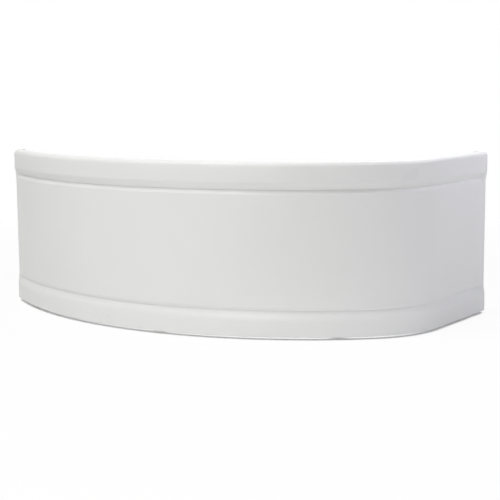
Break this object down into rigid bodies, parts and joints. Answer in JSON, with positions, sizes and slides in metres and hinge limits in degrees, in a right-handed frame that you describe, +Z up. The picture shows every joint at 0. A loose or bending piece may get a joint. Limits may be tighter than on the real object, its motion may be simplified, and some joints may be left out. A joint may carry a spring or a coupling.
{
  "type": "bath front panel",
  "caption": "Curved white front panel of an asymmetric corner bath, with grooved bands, a wooden frame behind, slotted rim brackets and screw-adjusted feet.",
  "frame": {"origin": "on the floor, at the middle of the whole part's outline in plan", "axes": "+X along the long back wall, from the short wall to the return end; +Y towards the long back wall; +Z up"},
  "size_m": [1.4844, 0.8971, 0.54],
  "materials": {
    "white_acrylic": "smooth, softly glossy cast acrylic sheet",
    "fibreglass": "rough sprayed glass-fibre laminate",
    "plywood": "sanded birch plywood, unpainted",
    "zinc_steel": "bright zinc plate",
    "black_plastic": "moulded, fine grain"
  },
  "bodies": {
    "panel": {"acrylic_skin": "white_acrylic", "fibreglass_backing": "fibreglass", "top_rail_bow": "plywood", "top_rail_return": "plywood", "bottom_rail_bow": "plywood", "bottom_rail_return": "plywood", "upright_left": "plywood", "upright_centre": "plywood", "upright_right": "plywood", "upright_return": "plywood", "foot_bracket_left": "zinc_steel", "foot_bracket_centre": "zinc_steel", "foot_bracket_right": "zinc_steel", "foot_bracket_return": "zinc_steel", "upright_screws": "zinc_steel", "rim_bracket_screws": "zinc_steel", "rim_bracket_washers": "zinc_steel", "foot_bracket_screws": "zinc_steel", "foot_washers": "zinc_steel"},
    "rim_bracket_left": {"rim_bracket_left": "zinc_steel"},
    "foot_left": {"foot_stud_left": "zinc_steel", "foot_pad_left": "black_plastic"},
    "foot_lower_nut_left": {"foot_lower_nut_left": "zinc_steel"},
    "foot_upper_nut_left": {"foot_upper_nut_left": "zinc_steel"},
    "rim_bracket_centre": {"rim_bracket_centre": "zinc_steel"},
    "foot_centre": {"foot_stud_centre": "zinc_steel", "foot_pad_centre": "black_plastic"},
    "foot_lower_nut_centre": {"foot_lower_nut_centre": "zinc_steel"},
    "foot_upper_nut_centre": {"foot_upper_nut_centre": "zinc_steel"},
    "rim_bracket_right": {"rim_bracket_right": "zinc_steel"},
    "foot_right": {"foot_stud_right": "zinc_steel", "foot_pad_right": "black_plastic"},
    "foot_lower_nut_right": {"foot_lower_nut_right": "zinc_steel"},
    "foot_upper_nut_right": {"foot_upper_nut_right": "zinc_steel"},
    "rim_bracket_return": {"rim_bracket_return": "zinc_steel"},
    "foot_return": {"foot_stud_return": "zinc_steel", "foot_pad_return": "black_plastic"},
    "foot_lower_nut_return": {"foot_lower_nut_return": "zinc_steel"},
    "foot_upper_nut_return": {"foot_upper_nut_return": "zinc_steel"}
  },
  "joints": [
    {"name": "rim_bracket_left_height", "type": "slide", "parent": "panel", "child": "rim_bracket_left", "axis": [0, 0, 1], "range_m": [-0.01, 0.01]},
    {"name": "foot_left_height", "type": "slide", "parent": "panel", "child": "foot_left", "axis": [0, 0, 1], "range_m": [-0.025, 0.008]},
    {"name": "foot_left_lower_nut_turn", "type": "hinge", "parent": "panel", "child": "foot_lower_nut_left", "pos_m": [-0.51227, -0.31092, 0.0298], "axis": [0, 0, 1], "range_deg": [-1920, 6000]},
    {"name": "foot_left_upper_nut_turn", "type": "hinge", "parent": "panel", "child": "foot_upper_nut_left", "pos_m": [-0.51227, -0.31092, 0.0462], "axis": [0, 0, 1], "range_deg": [-1920, 6000]},
    {"name": "rim_bracket_centre_height", "type": "slide", "parent": "panel", "child": "rim_bracket_centre", "axis": [0, 0, 1], "range_m": [-0.01, 0.01]},
    {"name": "foot_centre_height", "type": "slide", "parent": "panel", "child": "foot_centre", "axis": [0, 0, 1], "range_m": [-0.025, 0.008]},
    {"name": "foot_centre_lower_nut_turn", "type": "hinge", "parent": "panel", "child": "foot_lower_nut_centre", "pos_m": [0.02618, -0.36148, 0.0298], "axis": [0, 0, 1], "range_deg": [-1920, 6000]},
    {"name": "foot_centre_upper_nut_turn", "type": "hinge", "parent": "panel", "child": "foot_upper_nut_centre", "pos_m": [0.02618, -0.36148, 0.0462], "axis": [0, 0, 1], "range_deg": [-1920, 6000]},
    {"name": "rim_bracket_right_height", "type": "slide", "parent": "panel", "child": "rim_bracket_right", "axis": [0, 0, 1], "range_m": [-0.01, 0.01]},
    {"name": "foot_right_height", "type": "slide", "parent": "panel", "child": "foot_right", "axis": [0, 0, 1], "range_m": [-0.025, 0.008]},
    {"name": "foot_right_lower_nut_turn", "type": "hinge", "parent": "panel", "child": "foot_lower_nut_right", "pos_m": [0.51807, -0.13673, 0.0298], "axis": [0, 0, 1], "range_deg": [-1920, 6000]},
    {"name": "foot_right_upper_nut_turn", "type": "hinge", "parent": "panel", "child": "foot_upper_nut_right", "pos_m": [0.51807, -0.13673, 0.0462], "axis": [0, 0, 1], "range_deg": [-1920, 6000]},
    {"name": "rim_bracket_return_height", "type": "slide", "parent": "panel", "child": "rim_bracket_return", "axis": [0, 0, 1], "range_m": [-0.01, 0.01]},
    {"name": "foot_return_height", "type": "slide", "parent": "panel", "child": "foot_return", "axis": [0, 0, 1], "range_m": [-0.025, 0.008]},
    {"name": "foot_return_lower_nut_turn", "type": "hinge", "parent": "panel", "child": "foot_lower_nut_return", "pos_m": [0.66966, 0.24914, 0.0298], "axis": [0, 0, 1], "range_deg": [-1920, 6000]},
    {"name": "foot_return_upper_nut_turn", "type": "hinge", "parent": "panel", "child": "foot_upper_nut_return", "pos_m": [0.66966, 0.24914, 0.0462], "axis": [0, 0, 1], "range_deg": [-1920, 6000]}
  ],
  "couplings": [
    {"joint": "foot_left_lower_nut_turn", "follows": "foot_left_height", "rad_per_m": -4188.8},
    {"joint": "foot_left_upper_nut_turn", "follows": "foot_left_height", "rad_per_m": -4188.8},
    {"joint": "foot_centre_lower_nut_turn", "follows": "foot_centre_height", "rad_per_m": -4188.8},
    {"joint": "foot_centre_upper_nut_turn", "follows": "foot_centre_height", "rad_per_m": -4188.8},
    {"joint": "foot_right_lower_nut_turn", "follows": "foot_right_height", "rad_per_m": -4188.8},
    {"joint": "foot_right_upper_nut_turn", "follows": "foot_right_height", "rad_per_m": -4188.8},
    {"joint": "foot_return_lower_nut_turn", "follows": "foot_return_height", "rad_per_m": -4188.8},
    {"joint": "foot_return_upper_nut_turn", "follows": "foot_return_height", "rad_per_m": -4188.8}
  ]
}
